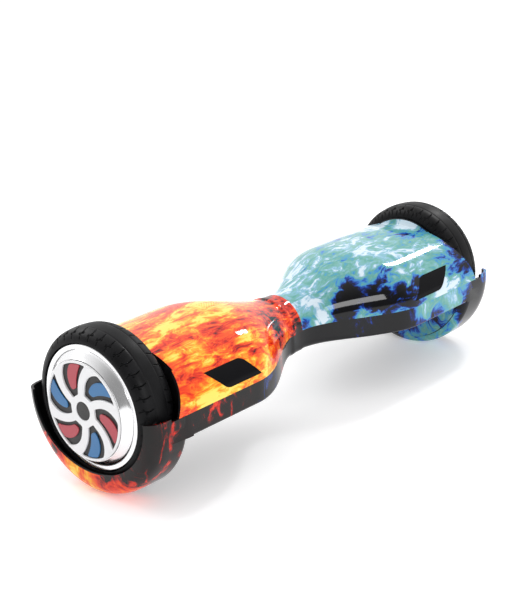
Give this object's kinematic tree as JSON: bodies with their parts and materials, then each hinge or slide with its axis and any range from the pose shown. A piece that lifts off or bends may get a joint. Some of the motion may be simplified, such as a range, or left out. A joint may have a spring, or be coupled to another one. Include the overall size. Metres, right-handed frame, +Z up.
{
  "type": "self balancing hoverboard",
  "caption": "Two-wheeled self-balancing board: two bodies that twist on a steel tube at the waist, hub-motor wheels, sprung foot mats, lamps, battery and charge port.",
  "frame": {"origin": "on the floor under the middle of the board, as it lies on its two fenders with its belly up", "axes": "+X along the axles from the flame half to the ice half, +Z up through the belly (the feet go on the -Z side: turn the board half a turn about X to ride it), lamps face -Y"},
  "size_m": [0.584, 0.1868, 0.1724],
  "materials": {
    "fire_shell": "glossy printed",
    "ice_shell": "glossy printed",
    "fire_deck": "glossy printed",
    "ice_deck": "glossy printed",
    "lamp_black": "gloss",
    "circuit_board": "solder mask",
    "mat_rubber": "moulded",
    "cast_alloy": "as cast",
    "axle_steel": "ground",
    "dark_steel": "black oxide",
    "lamination": "stacked sheets",
    "copper": "enamelled wire",
    "magnet": "nickel plated",
    "polished_rim": "polished",
    "tyre_rubber": "moulded tread",
    "hub_white": "gloss",
    "hub_black": "satin",
    "insert_red": "satin",
    "insert_blue": "satin",
    "cable_sleeve": "braided",
    "nylon": "natural",
    "battery_wrap": "shrink film",
    "cell_wrap": "shrink film",
    "black_plastic": "moulded",
    "cap_rubber": "moulded",
    "switch_metal": "plated",
    "button_red": "gloss"
  },
  "bodies": {
    "left_half": {"belly_shell_left": "fire_shell", "deck_shell_left": "fire_deck", "lamp_window_left": "lamp_black", "lamp_board_left": "circuit_board", "sensor_board_left": "circuit_board", "chassis_left": "cast_alloy", "axle_left": "axle_steel", "axle_clamp_left": "cast_alloy", "clamp_screws_left": "dark_steel", "shell_screws_left": "dark_steel", "stator_left": "lamination", "coils_left": "copper", "bearings_left": "axle_steel", "motor_cable_left": "cable_sleeve", "pivot_tube": "axle_steel", "pivot_circlip": "dark_steel", "main_board": "circuit_board", "heat_sink": "cast_alloy", "board_loom": "cable_sleeve", "speaker": "black_plastic"},
    "right_half": {"belly_shell_right": "ice_shell", "deck_shell_right": "ice_deck", "lamp_window_right": "lamp_black", "lamp_board_right": "circuit_board", "sensor_board_right": "circuit_board", "chassis_right": "cast_alloy", "axle_right": "axle_steel", "axle_clamp_right": "cast_alloy", "clamp_screws_right": "dark_steel", "shell_screws_right": "dark_steel", "stator_right": "lamination", "coils_right": "copper", "bearings_right": "axle_steel", "motor_cable_right": "cable_sleeve", "pivot_bushes": "nylon", "battery_case": "battery_wrap", "battery_cells": "cell_wrap", "charge_socket": "black_plastic", "power_switch": "switch_metal", "status_window": "lamp_black"},
    "left_wheel": {"magnets_left": "magnet", "rim_left": "polished_rim", "motor_cover_left": "cast_alloy", "tyre_left": "tyre_rubber", "hub_backing_left": "hub_black", "hub_plate_left": "hub_white", "red_inserts_left": "insert_red", "blue_inserts_left": "insert_blue"},
    "right_wheel": {"magnets_right": "magnet", "rim_right": "polished_rim", "motor_cover_right": "cast_alloy", "tyre_right": "tyre_rubber", "hub_backing_right": "hub_black", "hub_plate_right": "hub_white", "red_inserts_right": "insert_red", "blue_inserts_right": "insert_blue"},
    "left_mat": {"foot_mat_left": "mat_rubber"},
    "right_mat": {"foot_mat_right": "mat_rubber"},
    "button": {"power_button": "button_red"},
    "cap": {"charge_cap": "cap_rubber"}
  },
  "joints": [
    {"name": "half_twist", "type": "hinge", "parent": "left_half", "child": "right_half", "pos_m": [0, 0, 0.0925], "axis": [1, 0, 0], "range_deg": [-15, 15]},
    {"name": "left_wheel_spin", "type": "hinge", "parent": "left_half", "child": "left_wheel", "pos_m": [-0.26, 0, 0.0925], "axis": [1, 0, 0], "continuous": true},
    {"name": "right_wheel_spin", "type": "hinge", "parent": "right_half", "child": "right_wheel", "pos_m": [0.26, 0, 0.0925], "axis": [1, 0, 0], "continuous": true},
    {"name": "left_mat_press", "type": "slide", "parent": "left_half", "child": "left_mat", "axis": [0, 0, 1], "range_m": [0, 0.002], "stiffness_N_per_m": 2000, "springref_m": -0.001},
    {"name": "right_mat_press", "type": "slide", "parent": "right_half", "child": "right_mat", "axis": [0, 0, 1], "range_m": [0, 0.002], "stiffness_N_per_m": 2000, "springref_m": -0.001},
    {"name": "power_button_press", "type": "slide", "parent": "right_half", "child": "button", "axis": [0, -1, 0], "range_m": [0, 0.0015], "stiffness_N_per_m": 400, "springref_m": -0.0015},
    {"name": "charge_cap_hinge", "type": "hinge", "parent": "right_half", "child": "cap", "pos_m": [0.158, 0.0915, 0.0896], "axis": [1, 0, 0], "range_deg": [0, 95]}
  ]
}
